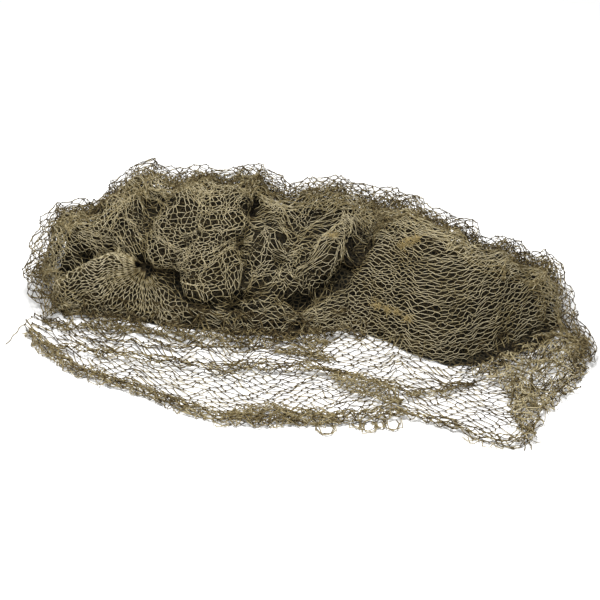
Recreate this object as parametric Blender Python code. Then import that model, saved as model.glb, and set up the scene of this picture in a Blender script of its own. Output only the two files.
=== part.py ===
"""Camouflage net of knotted khaki twine: one big net, let down in a heap with its front spread flat.

The net is one sheet. Its front edge lies on the ground as a thin apron. From there the sheet runs
back under the heap, turns up at the back, comes forward over the heap as the outer layer with its
lobes and valleys, turns under at the heap's foot, and runs back and forward once more inside.
Metres, +Z up, +X to the right and +Y to the back. The origin is at the middle of the underside.
The tables place things from a point near that middle, and the finished sheet is moved to it.
"""

import math

import bpy
import numpy as np

# Driving sizes of the heaped net.
SHEET_THICKNESS = 0.003
WIDTH = 1.096
STATIONS = 45
LAYER_GAP = 0.008
FOOT_TUCK = 0.014
TURN_RADIUS = 0.012
SHOULDER = 0.55
LEAST_HEIGHT = 0.034
INNER_LOW = 0.16
INNER_HIGH = 0.36
INNER_FRONT = 0.14
INNER_BACK = 0.84

# Points along the section, front edge to inner edge.
APRON_POINTS = 16
UNDER_POINTS = 4
OUTER_POINTS = 32
INNER_POINTS = 6

# How far each stretch of the sheet stops short of the widest layer at the two sides.
OUTER_SIDE_STEP = 0.014
INNER_SIDE_STEP = 0.045

# Ripples along the edges, as a share of a sine: length of one ripple and its reach.
BACK_RIPPLE_LENGTH = 0.118
BACK_RIPPLE = 0.009
HEM_RIPPLE_LENGTH = 0.067
HEM_RIPPLE = 0.005
SIDE_RIPPLE_LENGTH = 0.086
SIDE_RIPPLE = 0.007

# Pleats that run out from the gather at the left: how many there are round it, how deep they are and
# how far from it they are deepest.
GATHER_X = -0.314
GATHER_Y = 0.083
PLEATS = 8
PLEAT_DEPTH = 0.007
PLEAT_REACH = 0.075

# Soft slack creases that run along the right lobe: spacing, depth and how they slant.
SLACK_SPACING = 0.062
SLACK_DEPTH = 0.004
SLACK_SLANT_DEG = -14.0
SLACK_FROM_X = 0.14

# Sections across the heap, left to right: where the hem, the heap's foot and its back lie, its height
# between the lobes, and how far behind the foot it reaches that height.
SECTION_COLUMNS = ("x", "hem", "foot", "back", "height", "ramp")
SECTIONS = (
    (-0.548, 0.020, 0.080, 0.205, 0.046, 0.050),
    (-0.500, -0.070, 0.074, 0.300, 0.100, 0.090),
    (-0.434, -0.150, 0.060, 0.345, 0.136, 0.120),
    (-0.338, -0.212, 0.044, 0.372, 0.164, 0.120),
    (-0.238, -0.277, 0.014, 0.382, 0.172, 0.120),
    (-0.154, -0.327, -0.006, 0.382, 0.170, 0.120),
    (-0.012, -0.334, -0.014, 0.365, 0.148, 0.120),
    (0.084, -0.330, 0.004, 0.345, 0.148, 0.090),
    (0.180, -0.316, -0.058, 0.318, 0.152, 0.050),
    (0.238, -0.338, -0.112, 0.297, 0.150, 0.040),
    (0.315, -0.385, -0.098, 0.266, 0.134, 0.040),
    (0.397, -0.396, -0.044, 0.240, 0.104, 0.040),
    (0.459, -0.240, -0.004, 0.224, 0.078, 0.040),
    (0.515, -0.172, 0.006, 0.172, 0.058, 0.040),
    (0.548, -0.050, 0.016, 0.116, 0.042, 0.030),
)
RAMP_START = 0.3

# Lobes of the outer layer: middle, half length, half width, turn from the X axis and rise.
LOBE_COLUMNS = ("x", "y", "length", "width", "turn_deg", "rise")
LOBES = {
    "left_mound": (-0.410, 0.190, 0.085, 0.076, 25.0, 0.036),
    "left_tongue": (-0.420, 0.080, 0.092, 0.034, 14.0, 0.036),
    "middle_lobe": (-0.185, 0.155, 0.115, 0.098, 62.0, 0.060),
    "foot_roll": (-0.110, 0.026, 0.190, 0.026, -6.0, 0.014),
    "right_cushion": (0.275, 0.035, 0.160, 0.125, -22.0, 0.050),
    "right_crown": (0.165, 0.235, 0.150, 0.050, -14.0, 0.028),
    "rear_crown": (-0.010, 0.275, 0.090, 0.050, 4.0, 0.040),
    "left_rim_loop": (-0.478, 0.240, 0.044, 0.036, 40.0, 0.026),
    "high_loop": (-0.315, 0.292, 0.050, 0.040, 10.0, 0.036),
    "middle_loop": (-0.110, 0.298, 0.052, 0.036, 0.0, 0.028),
    "crown_loop": (0.085, 0.282, 0.050, 0.030, -10.0, 0.022),
    "slope_loop": (0.312, 0.200, 0.044, 0.032, -25.0, 0.022),
    "right_rim_loop": (0.462, 0.165, 0.042, 0.040, 10.0, 0.026),
    "side_loop": (0.515, 0.050, 0.034, 0.050, 80.0, 0.018),
}

# Valleys and pits pressed into the outer layer: two ends, half width and depth.
VALLEY_COLUMNS = ("x0", "y0", "x1", "y1", "half_width", "depth")
VALLEYS = {
    "gather": (-0.326, 0.086, -0.302, 0.080, 0.030, 0.050),
    "above_tongue": (-0.500, 0.134, -0.345, 0.122, 0.019, 0.036),
    "gather_to_crown": (-0.318, 0.100, -0.288, 0.235, 0.028, 0.026),
    "middle_crease": (-0.300, 0.076, -0.205, 0.060, 0.018, 0.040),
    "under_middle_lobe": (-0.205, 0.060, -0.085, 0.062, 0.018, 0.042),
    "basin_crease": (-0.085, 0.062, -0.010, 0.048, 0.018, 0.026),
    "beside_middle_lobe": (-0.108, 0.075, -0.076, 0.262, 0.030, 0.038),
    "basin": (-0.040, 0.125, 0.005, 0.205, 0.044, 0.026),
    "diagonal_low": (-0.010, 0.044, 0.078, 0.070, 0.024, 0.040),
    "diagonal_high": (0.084, 0.070, 0.128, 0.235, 0.040, 0.052),
    "under_cushion": (0.350, -0.060, 0.450, 0.020, 0.018, 0.030),
    "right_dip": (0.400, 0.120, 0.430, 0.010, 0.028, 0.014),
}

# Wrinkles that stand up along the apron: their ends, half width and height.
WRINKLE_COLUMNS = ("x0", "y0", "x1", "y1", "half_width", "height")
WRINKLES = {
    "left_near": (-0.450, -0.055, -0.319, -0.104, 0.015, 0.011),
    "left_far": (-0.319, -0.104, -0.200, -0.138, 0.015, 0.012),
    "middle_near": (-0.170, -0.078, -0.012, -0.135, 0.016, 0.013),
    "middle_far": (-0.012, -0.135, 0.180, -0.246, 0.018, 0.016),
    "bunch": (0.075, -0.262, 0.190, -0.290, 0.017, 0.018),
    "right_fold": (0.470, -0.025, 0.362, -0.128, 0.018, 0.018),
    "corner_fold": (0.362, -0.128, 0.402, -0.330, 0.022, 0.016),
    "right_bunch": (0.460, -0.150, 0.490, -0.080, 0.022, 0.012),
}
HEM_ROLL_INSET = 0.020
HEM_ROLL_HALF_WIDTH = 0.011
HEM_ROLL_HEIGHT = 0.008

TWINE_COLOUR = (0.205, 0.178, 0.112, 1.0)
TWINE_ROUGHNESS = 0.92

REST = SHEET_THICKNESS / 2


def clear_scene():
    for thing in list(bpy.data.objects):
        bpy.data.objects.remove(thing, do_unlink=True)


def section_value(x, name):
    """A column of SECTIONS at x, along a smooth curve through its rows."""
    rows = np.array(SECTIONS)
    at = rows[:, SECTION_COLUMNS.index("x")]
    value = rows[:, SECTION_COLUMNS.index(name)]
    slope = np.gradient(value, at)
    row = int(np.clip(np.searchsorted(at, x) - 1, 0, len(at) - 2))
    span = at[row + 1] - at[row]
    t = (x - at[row]) / span
    start = (2 * t**3 - 3 * t**2 + 1) * value[row] + (t**3 - 2 * t**2 + t) * span * slope[row]
    end = (3 * t**2 - 2 * t**3) * value[row + 1] + (t**3 - t**2) * span * slope[row + 1]
    return start + end


def lobe_rise(x, y):
    """Height that the lobes add at a place, each a dome on an oval."""
    total = 0.0
    for row in LOBES.values():
        lobe = dict(zip(LOBE_COLUMNS, row))
        turn = math.radians(lobe["turn_deg"])
        along = (x - lobe["x"]) * math.cos(turn) + (y - lobe["y"]) * math.sin(turn)
        across = (y - lobe["y"]) * math.cos(turn) - (x - lobe["x"]) * math.sin(turn)
        reach = (along / lobe["length"]) ** 2 + (across / lobe["width"]) ** 2
        total += lobe["rise"] * math.exp(-(reach**1.4) * 0.7)
    return total


def line_ridge(x, y, x0, y0, x1, y1, half_width):
    """1 on the line between two ends, fading to 0 over its half width and past its ends."""
    run = np.array([x1 - x0, y1 - y0])
    place = np.array([x - x0, y - y0])
    share = float(np.clip(place @ run / (run @ run), 0.0, 1.0))
    distance = float(np.hypot(*(place - share * run)))
    return math.exp(-((distance / half_width) ** 2) * 0.7)


def valley_depth(x, y):
    deepest = 0.0
    for row in VALLEYS.values():
        valley = dict(zip(VALLEY_COLUMNS, row))
        depth = valley.pop("depth")
        deepest = math.hypot(deepest, depth * line_ridge(x, y, **valley))
    return deepest


def pleat_height(x, y):
    """Rise and fall of the pleats that run out from the gather."""
    away = math.hypot(x - GATHER_X, y - GATHER_Y)
    round_it = math.atan2(y - GATHER_Y, x - GATHER_X)
    reach = away / PLEAT_REACH
    return PLEAT_DEPTH * math.cos(PLEATS * round_it) * reach * math.exp(1.0 - reach)


def slack_height(x, y):
    """Rise and fall of the slack creases along the right lobe."""
    slant = math.radians(SLACK_SLANT_DEG)
    across = y * math.cos(slant) - x * math.sin(slant)
    fade = min(1.0, max(0.0, (x - SLACK_FROM_X) / SLACK_SPACING))
    return SLACK_DEPTH * fade * math.sin(2 * math.pi * across / SLACK_SPACING)


def wrinkle_height(x, y, hem):
    """Height of the apron above the ground: its wrinkles, and the rolled edge of the net."""
    tallest = 0.0
    for row in WRINKLES.values():
        wrinkle = dict(zip(WRINKLE_COLUMNS, row))
        height = wrinkle.pop("height")
        tallest = max(tallest, height * line_ridge(x, y, **wrinkle))
    roll = HEM_ROLL_HEIGHT * math.exp(-(((y - hem - HEM_ROLL_INSET) / HEM_ROLL_HALF_WIDTH) ** 2))
    return max(tallest, roll)


def shoulder(share):
    """The round shoulders of a section: 0 at its back and foot, 1 in the middle."""
    return max(math.sin(math.pi * share), 0.0) ** SHOULDER


def outer_height(x, y, share):
    """Height of the outer layer above the ground at a share of the way from back to foot."""
    climb = min(1.0, max(0.0, (y - section_value(x, "foot")) / section_value(x, "ramp")))
    ramp = RAMP_START + (1.0 - RAMP_START) * climb * climb * (3.0 - 2.0 * climb)
    relief = section_value(x, "height") * ramp + lobe_rise(x, y) - valley_depth(x, y)
    relief += pleat_height(x, y) + slack_height(x, y)
    return shoulder(share) * max(relief, LEAST_HEIGHT)


def apron_run(x, hem, foot):
    """The apron, from the hem to the heap's foot, thinner towards the foot of the wrinkles."""
    for share in np.linspace(0.0, 1.0, APRON_POINTS):
        y = hem + (foot - hem) * share
        fade = min(1.0, (1.0 - share) * 4.0)
        yield x, y, REST + fade * wrinkle_height(x, y, hem)


def under_run(x, foot, back):
    """Flat on the ground under the heap."""
    for share in np.linspace(0.12, 1.0, UNDER_POINTS):
        yield x, foot + (back - TURN_RADIUS - foot) * share, REST


def side_place(x, y, step):
    """X of a point whose layer stops a step short of the sides, with the ripple of its side edge."""
    share = x / (WIDTH / 2)
    return x - share * step + share**5 * SIDE_RIPPLE * math.sin(2 * math.pi * y / SIDE_RIPPLE_LENGTH)


def outer_run(x, foot, back):
    """Up at the back, over the lobes and down to the foot, which is tucked in a little."""
    lowest = REST + LAYER_GAP
    for share in np.linspace(0.0, 1.0, OUTER_POINTS):
        y = back + (foot - back) * (1.0 - math.cos(math.pi * share)) / 2
        z = lowest + outer_height(x, y, share)
        tuck = FOOT_TUCK * max(0.0, (share - 0.9) / 0.1) ** 2
        yield side_place(x, y, OUTER_SIDE_STEP), y + tuck, z


def inner_height(x, y, foot, back, levels):
    """Height of an inner layer: a gap for each layer below it and a share of the room left."""
    across = (back - y) / (back - foot)
    share = math.acos(1.0 - 2.0 * across) / math.pi
    room = outer_height(x, y, share) - 3 * LAYER_GAP
    return REST + sum(LAYER_GAP + level * max(room, 0.0) for level in levels)


def inner_run(x, foot, back):
    """Back along the ground inside the heap, up, and forward again half way up."""
    front_y = foot + (back - foot) * INNER_FRONT
    back_y = foot + (back - foot) * INNER_BACK
    low = [INNER_LOW]
    high = [INNER_LOW, INNER_HIGH]
    for share in np.linspace(0.0, 1.0, INNER_POINTS):
        y = foot + 2 * TURN_RADIUS + (back_y - foot - 2 * TURN_RADIUS) * share
        ease = min(1.0, share * 3.0)
        z = inner_height(x, y, foot, back, low)
        yield side_place(x, y, INNER_SIDE_STEP), y, REST + LAYER_GAP + ease * (z - REST - LAYER_GAP)
    low_end = inner_height(x, back_y, foot, back, low)
    high_end = inner_height(x, back_y, foot, back, high)
    turn_y = back_y + TURN_RADIUS
    yield side_place(x, turn_y, INNER_SIDE_STEP), turn_y, (low_end + high_end) / 2
    for share in np.linspace(0.0, 1.0, INNER_POINTS):
        y = back_y + (front_y - back_y) * share
        z = inner_height(x, y, foot, back, high)
        yield side_place(x, y, INNER_SIDE_STEP), y, z


def section_points(x):
    """The sheet's middle line at one station, from the hem to the edge inside the heap."""
    hem = section_value(x, "hem") + HEM_RIPPLE * math.sin(2 * math.pi * x / HEM_RIPPLE_LENGTH)
    foot = section_value(x, "foot")
    back = section_value(x, "back") + BACK_RIPPLE * math.sin(2 * math.pi * x / BACK_RIPPLE_LENGTH)
    line = [
        *apron_run(x, hem, foot),
        *under_run(x, foot, back),
        *outer_run(x, foot, back),
        *inner_run(x, foot, back),
    ]
    return round_corners(np.array(line))


def round_corners(line):
    """Each point drawn to the mean of its neighbours, which rounds the turns. The ends stay."""
    softer = line.copy()
    softer[1:-1] = line[:-2] / 6 + line[1:-1] * 4 / 6 + line[2:] / 6
    return softer


def sheet_mesh(name):
    """The sheet's middle surface, a row of points for each station, centred on the origin."""
    stations = np.linspace(-WIDTH / 2, WIDTH / 2, STATIONS)
    rows = [section_points(x) for x in stations]
    across = len(rows[0])
    points = np.concatenate(rows)
    points[:, :2] -= (points.min(axis=0) + points.max(axis=0))[:2] / 2
    faces = []
    for station in range(STATIONS - 1):
        for step in range(across - 1):
            first = station * across + step
            faces.append((first, first + across, first + across + 1, first + 1))
    mesh = bpy.data.meshes.new(name)
    mesh.from_pydata(points.tolist(), [], faces)
    mesh.validate()
    return mesh


def twine_material():
    material = bpy.data.materials.new("khaki twine")
    material.use_nodes = True
    shader = material.node_tree.nodes["Principled BSDF"]
    shader.inputs["Base Color"].default_value = TWINE_COLOUR
    shader.inputs["Roughness"].default_value = TWINE_ROUGHNESS
    shader.inputs["Metallic"].default_value = 0.0
    return material


def netting():
    """The whole net as one closed sheet of even thickness."""
    net = bpy.data.objects.new("netting", sheet_mesh("netting"))
    bpy.context.scene.collection.objects.link(net)
    net.data.materials.append(twine_material())
    net.data.shade_smooth()
    thickness = net.modifiers.new("thickness", "SOLIDIFY")
    thickness.thickness = SHEET_THICKNESS
    thickness.offset = 0.0
    thickness.use_rim = True
    thickness.use_even_offset = False
    return net


clear_scene()
netting()
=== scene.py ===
import math

import bpy
import numpy as np
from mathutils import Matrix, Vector
from mathutils.bvhtree import BVHTree


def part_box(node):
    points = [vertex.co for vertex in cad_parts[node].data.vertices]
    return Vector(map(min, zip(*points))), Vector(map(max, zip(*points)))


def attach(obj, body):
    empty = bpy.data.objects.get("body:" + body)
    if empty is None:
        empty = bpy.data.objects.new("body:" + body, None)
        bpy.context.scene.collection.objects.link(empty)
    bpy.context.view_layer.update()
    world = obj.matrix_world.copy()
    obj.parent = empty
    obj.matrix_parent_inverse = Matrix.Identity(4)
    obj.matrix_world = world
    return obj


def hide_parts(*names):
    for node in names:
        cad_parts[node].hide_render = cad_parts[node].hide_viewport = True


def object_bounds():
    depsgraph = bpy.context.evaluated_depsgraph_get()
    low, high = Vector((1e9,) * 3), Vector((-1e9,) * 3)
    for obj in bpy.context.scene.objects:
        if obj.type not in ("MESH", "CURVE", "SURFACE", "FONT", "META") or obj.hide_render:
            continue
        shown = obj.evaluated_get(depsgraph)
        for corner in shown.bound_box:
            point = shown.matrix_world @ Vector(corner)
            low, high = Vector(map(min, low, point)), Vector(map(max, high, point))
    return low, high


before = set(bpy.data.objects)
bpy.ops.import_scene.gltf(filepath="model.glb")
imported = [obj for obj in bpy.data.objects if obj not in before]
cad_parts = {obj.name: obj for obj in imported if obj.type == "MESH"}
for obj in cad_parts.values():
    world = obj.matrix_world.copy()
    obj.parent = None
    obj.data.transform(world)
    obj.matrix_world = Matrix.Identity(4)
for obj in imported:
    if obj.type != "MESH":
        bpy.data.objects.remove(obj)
cad_box = [list(corner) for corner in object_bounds()]

# ---------------------------------------------------------------------------------------------
# Studio: a plain pale floor that runs out of sight, one large soft light above and to the left,
# an even white surround, and a camera on a long lens looking down at the net from in front.
# ---------------------------------------------------------------------------------------------
VIEW_DOWN_DEG = 30.0
LENS_MM = 180.0
SENSOR_MM = 36.0
SEEN_WIDTH = 1.152
LOOK_AT = Vector((-0.0115, 0.0587, 0.050))
FLOOR_SIZE = 40.0
FLOOR_BELOW = 0.0005
FLOOR_COLOUR = (0.90, 0.90, 0.895, 1.0)
SURROUND_STRENGTH = 0.66
KEY_PLACE = Vector((-0.25, -0.90, 2.4))
KEY_WIDTH = 0.9
KEY_WATTS = 94.0

bpy.ops.object.select_all(action="DESELECT")
bpy.ops.mesh.primitive_plane_add(size=FLOOR_SIZE, location=(0.0, 0.0, -FLOOR_BELOW))
floor = bpy.context.object
floor.name = "studio_floor"
floor_paint = bpy.data.materials.new("pale floor")
floor_paint.use_nodes = True
floor_shader = floor_paint.node_tree.nodes["Principled BSDF"]
floor_shader.inputs["Base Color"].default_value = FLOOR_COLOUR
floor_shader.inputs["Roughness"].default_value = 0.9
floor_shader.inputs["Specular IOR Level"].default_value = 0.1
floor.data.materials.append(floor_paint)

surround = bpy.data.worlds.new("white surround")
surround.use_nodes = True
background = surround.node_tree.nodes["Background"]
background.inputs["Color"].default_value = (1.0, 1.0, 1.0, 1.0)
background.inputs["Strength"].default_value = SURROUND_STRENGTH
bpy.context.scene.world = surround

lamp = bpy.data.lights.new("key_light", "AREA")
lamp.shape = "DISK"
lamp.size = KEY_WIDTH
lamp.energy = KEY_WATTS
key_light = bpy.data.objects.new("key_light", lamp)
key_light.location = KEY_PLACE
key_light.rotation_euler = (LOOK_AT - KEY_PLACE).to_track_quat("-Z", "Y").to_euler()
bpy.context.scene.collection.objects.link(key_light)

camera = bpy.data.objects.new("camera", bpy.data.cameras.new("camera"))
camera.data.lens = LENS_MM
camera.data.sensor_width = SENSOR_MM
camera.data.clip_end = 60.0
view_down = math.radians(VIEW_DOWN_DEG)
distance = SEEN_WIDTH * LENS_MM / SENSOR_MM
camera.location = LOOK_AT + distance * Vector((0.0, -math.cos(view_down), math.sin(view_down)))
camera.rotation_euler = (math.pi / 2 - view_down, 0.0, 0.0)
bpy.context.scene.collection.objects.link(camera)
bpy.context.scene.camera = camera
bpy.context.scene.view_settings.view_transform = "Standard"

# ---------------------------------------------------------------------------------------------
# The form the net lies in: a slack heap of folds with its front edge drawn out over the ground.
# The heap's outer layer is read off the frame as sections from the foot, over the top and down to
# the back, and the front edge is read off it too, so every net below lies on the real folds.
# ---------------------------------------------------------------------------------------------
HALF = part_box("netting")[1].x
# How finely the heap is read: sections across it, points along each, and rows over the ground.
COLUMNS = 260
STEPS = 140
ROW_STEP = 0.004
CUT_POINTS = 120
END_MARGIN = 0.003
# What is higher than the apron is heap. No net lies lower than the least rise.
HEAP_LEAST_HEIGHT = 0.026
LEAST_RISE = 0.002
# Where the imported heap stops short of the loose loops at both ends, and how it rounds down there.
LEFT_GAP = 0.026
RIGHT_GAP = 0.054
END_ROUNDING = 0.055
# How far it sinks below the loops on top, most at its crest.
LOOP_HEIGHT = 0.024
LEAST_SINK = 0.004
MOST_SINK = 0.060
CREST_RUN = 0.17
CREASE_DEPTH = 1.25
DRIFT_WAVES = 9
# How much of a height and of a depth shows upward in a view from the front, 30 degrees down.
RISE_SEEN = 0.866
DEPTH_SEEN = 0.5
UP_IN_VIEW = np.array([0.0, DEPTH_SEEN, RISE_SEEN])
TO_VIEWER = np.array([0.0, -RISE_SEEN, DEPTH_SEEN])

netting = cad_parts["netting"]
netting_tree = BVHTree.FromPolygons(
    [vertex.co.copy() for vertex in netting.data.vertices],
    [tuple(face.vertices) for face in netting.data.polygons],
)
column_x = np.linspace(-HALF + END_MARGIN, HALF - END_MARGIN, COLUMNS)
row_y = np.arange(cad_box[0][1] - 0.01, cad_box[1][1] + 0.01, ROW_STEP)


def top_of_net(x, y):
    """Height of the netting's top face, or 0 where there is none."""
    hit = netting_tree.ray_cast(Vector((x, y, 1.0)), Vector((0.0, 0.0, -1.0)))[0]
    return hit.z if hit else 0.0


def smoothed(values, passes):
    """Values drawn to their neighbours' mean along the first axis. The ends stay."""
    values = np.array(values, float)
    for _ in range(passes):
        values[1:-1] = (values[:-2] + 2 * values[1:-1] + values[2:]) / 4
    return values


def seen_height(points):
    """How high places stand in a view from the front, 30 degrees down."""
    return RISE_SEEN * points[..., 2] + DEPTH_SEEN * points[..., 1]


def crest_of(seen):
    """Where each section stands highest in that view, as a share of the way along it."""
    return smoothed(np.argmax(seen, axis=1), 6) / (STEPS - 1)


top = np.array([[top_of_net(x, y) for y in row_y] for x in column_x])
hem_y = smoothed([row_y[np.argmax(line > 0.0)] for line in top], 2)
foot_y = smoothed([row_y[np.argmax(line > HEAP_LEAST_HEIGHT)] for line in top], 3)
last_row = len(row_y) - 1
back_y = smoothed([row_y[last_row - np.argmax(line[::-1] > HEAP_LEAST_HEIGHT)] for line in top], 3)


def heap_section(column):
    """One section of the heap's outer layer as evenly spaced points, with its length."""
    y = np.linspace(foot_y[column] - LEAST_RISE, back_y[column] + LEAST_RISE, CUT_POINTS)
    z = np.interp(y, row_y, top[column])
    z[0] = z[-1] = LEAST_RISE
    z[1:-1] = np.maximum(z[1:-1], HEAP_LEAST_HEIGHT * 0.8)
    along = np.concatenate([[0.0], np.cumsum(np.hypot(np.diff(y), np.diff(z)))])
    even = np.linspace(0.0, along[-1], STEPS)
    return np.interp(even, along, y), np.interp(even, along, z), along[-1]


sections = [heap_section(column) for column in range(COLUMNS)]
length_of = smoothed([section[2] for section in sections], 6)
end_share = np.minimum(column_x + HALF - LEFT_GAP, HALF - RIGHT_GAP - column_x)
end_share = np.clip(end_share / END_ROUNDING, 0.0, 1.0)
end_shoulder = np.sqrt(1.0 - (1.0 - end_share) ** 2)
heap = np.empty((COLUMNS, STEPS, 3))
heap[:, :, 0] = column_x[:, None]
heap[:, :, 1] = [section[0] for section in sections]
heap[:, :, 2] = np.array([section[1] for section in sections]) * end_shoulder[:, None]
for _ in range(3):
    heap[1:-1] = (heap[:-2] + 2 * heap[1:-1] + heap[2:]) / 4
    heap[:, 1:-1] = (heap[:, :-2] + 2 * heap[:, 1:-1] + heap[:, 2:]) / 4

# The skyline as seen from the front: sideways and up in that view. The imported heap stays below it
# by the height of the loose loops that stand on top.
RIM = (
    (-0.508, 0.038), (-0.519, 0.063), (-0.537, 0.088), (-0.556, 0.121), (-0.545, 0.155),
    (-0.538, 0.188), (-0.526, 0.215), (-0.511, 0.242), (-0.497, 0.262), (-0.470, 0.266),
    (-0.442, 0.273), (-0.419, 0.261), (-0.400, 0.280), (-0.384, 0.301), (-0.362, 0.323),
    (-0.334, 0.340), (-0.307, 0.350), (-0.280, 0.341), (-0.263, 0.328), (-0.223, 0.336),
    (-0.184, 0.332), (-0.150, 0.324), (-0.131, 0.340), (-0.073, 0.338), (-0.054, 0.315),
    (-0.035, 0.299), (-0.008, 0.311), (0.056, 0.317), (0.084, 0.313), (0.096, 0.301),
    (0.148, 0.297), (0.192, 0.284), (0.230, 0.265), (0.276, 0.240), (0.311, 0.232),
    (0.330, 0.207), (0.353, 0.190), (0.384, 0.201), (0.415, 0.184), (0.442, 0.163),
    (0.465, 0.171), (0.490, 0.155), (0.501, 0.121), (0.516, 0.082), (0.518, 0.034),
    (0.545, 0.009), (0.549, -0.018), (0.532, -0.054),
)
SKYLINE = RIM[5:44]
share = np.linspace(0.0, 1.0, STEPS)[None, :]
seen = seen_height(heap)
above = seen.max(axis=1) - np.interp(column_x, *zip(*SKYLINE)) + LOOP_HEIGHT
sink = smoothed(np.clip(above, LEAST_SINK, MOST_SINK) / RISE_SEEN, 3)
from_crest = (share - crest_of(seen)[:, None]) / CREST_RUN
heap[..., 2] = np.maximum(heap[..., 2] - sink[:, None] * np.exp(-(from_crest**2)), LEAST_RISE)
steps_across = np.linalg.norm(np.diff(heap, axis=0), axis=2)[:, STEPS // 6 : -STEPS // 6].mean(axis=1)
across_of = np.concatenate([[0.0], np.cumsum(steps_across)])
across_of -= np.interp(0.0, column_x, across_of)


def outward(grid):
    """Unit normals of a grid of points, pointing out of the heap."""
    normal = np.cross(np.gradient(grid, axis=0), np.gradient(grid, axis=1))
    return normal / (np.linalg.norm(normal, axis=2, keepdims=True) + 1e-9)


def away_from(line, x, y):
    """Distance from places to a bent line."""
    least = np.full(x.shape, np.inf)
    for (x0, y0), (x1, y1) in zip(line[:-1], line[1:]):
        run_x, run_y = x1 - x0, y1 - y0
        part = ((x - x0) * run_x + (y - y0) * run_y) / (run_x**2 + run_y**2)
        part = np.clip(part, 0.0, 1.0)
        away = np.hypot(x - (x0 + part * run_x), y - (y0 + part * run_y))
        least = np.minimum(least, away)
    return least


def inside_by(outline, x, y):
    """How far places lie inside a closed outline. Outside it the distance is negative."""
    closed = list(outline) + [outline[0]]
    within = np.zeros(x.shape, bool)
    for (x0, y0), (x1, y1) in zip(closed[:-1], closed[1:]):
        if y0 == y1:
            continue
        crosses = (y0 > y) != (y1 > y)
        within ^= crosses & (x < (x1 - x0) * (y - y0) / (y1 - y0) + x0)
    away = away_from(closed, x, y)
    return np.where(within, away, -away)


# The tight creases between the folds and, last, the sharp ridge of the left-hand fold, each as a
# line seen from the front: sideways and up in that view, then how deep and how wide it is.
CREASES = (
    (((-0.307, 0.134), (-0.280, 0.128), (-0.253, 0.090), (-0.198, 0.063)), 0.022, 0.010),
    (((-0.198, 0.063), (-0.152, 0.071), (-0.115, 0.082), (-0.084, 0.098)), 0.022, 0.010),
    (((-0.077, 0.307), (-0.084, 0.280), (-0.096, 0.236), (-0.117, 0.188)), 0.011, 0.014),
    (((-0.117, 0.188), (-0.115, 0.130), (-0.111, 0.082)), 0.011, 0.012),
    (((-0.012, 0.067), (0.023, 0.084), (0.056, 0.101), (0.084, 0.146)), 0.028, 0.013),
    (((0.084, 0.146), (0.105, 0.190)), 0.018, 0.018),
    (
        ((-0.342, 0.157), (-0.376, 0.167), (-0.415, 0.153), (-0.449, 0.134), (-0.488, 0.119)),
        0.011,
        0.010,
    ),
    (((-0.493, 0.119), (-0.499, 0.073), (-0.488, 0.038)), 0.012, 0.010),
    (((-0.319, 0.146), (-0.307, 0.197), (-0.303, 0.255), (-0.307, 0.299)), 0.012, 0.013),
    (((-0.052, 0.073), (-0.038, 0.080), (-0.012, 0.075)), 0.016, 0.008),
    (((-0.435, 0.157), (-0.430, 0.156)), 0.030, 0.008),
    (((0.150, 0.150), (0.215, 0.146)), 0.007, 0.020),
    (((-0.138, 0.058), (-0.130, 0.046)), 0.040, 0.012),
    (((-0.055, 0.149), (-0.053, 0.149)), 0.018, 0.011),
    (((-0.318, 0.138), (-0.308, 0.133)), 0.016, 0.010),
    (
        ((-0.334, 0.142), (-0.365, 0.150), (-0.405, 0.136), (-0.444, 0.113), (-0.472, 0.098)),
        -0.012,
        0.012,
    ),
)
seen = seen_height(heap)
crest = crest_of(seen)
crest_seen = seen.max(axis=1)[:, None]
seen_on = np.where(share <= crest[:, None], seen, 2 * crest_seen - seen)
hollow = np.zeros(seen.shape)
for line, deep, wide in CREASES:
    away = away_from(line, heap[:, :, 0], seen_on)
    hollow += CREASE_DEPTH * deep * np.exp(-((away / wide) ** 2))
heap_out = outward(heap)
heap = heap - heap_out * hollow[..., None]
heap[..., 2] = np.maximum(heap[..., 2], LEAST_RISE)
for _ in range(2):
    heap_out[1:-1] = (heap_out[:-2] + 2 * heap_out[1:-1] + heap_out[2:]) / 4
heap_out = outward(heap) * 0.5 + heap_out * 0.5
heap_out /= np.linalg.norm(heap_out, axis=2, keepdims=True) + 1e-9
seen_grid = seen_on[..., None]
hollow_grid = hollow[..., None]


def pick(grid, x, t):
    """Values of a section grid at x, and at a share t of the way from the foot to the back."""
    i = np.clip((x - column_x[0]) / (column_x[1] - column_x[0]), 0, COLUMNS - 1.001)
    j = np.clip(t, 0, 1) * (STEPS - 1.001)
    a, b = i.astype(int), j.astype(int)
    u, v = (i - a)[..., None], (j - b)[..., None]
    near = grid[a, b] * (1 - v) + grid[a, b + 1] * v
    far = grid[a + 1, b] * (1 - v) + grid[a + 1, b + 1] * v
    return near * (1 - u) + far * u


def heap_place(x, t, out):
    """Points on the heap, moved out from it by a distance."""
    return pick(heap, x, t) + pick(heap_out, x, t) * out[..., None]


def drift(points, seed, wave, reach):
    """Smooth uneven shifts, one vector for each point, which change over about a wave's length."""
    rng = np.random.default_rng(seed)
    size = points.shape[-1]
    total = np.zeros(points.shape)
    for _ in range(DRIFT_WAVES):
        way = rng.normal(size=size)
        way *= 2 * math.pi / wave / np.linalg.norm(way) * rng.uniform(0.6, 1.5)
        swell = np.sin(points @ way + rng.uniform(0, 2 * math.pi))[..., None]
        total += swell * rng.normal(size=size)
    return total * reach / math.sqrt(DRIFT_WAVES)


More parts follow.
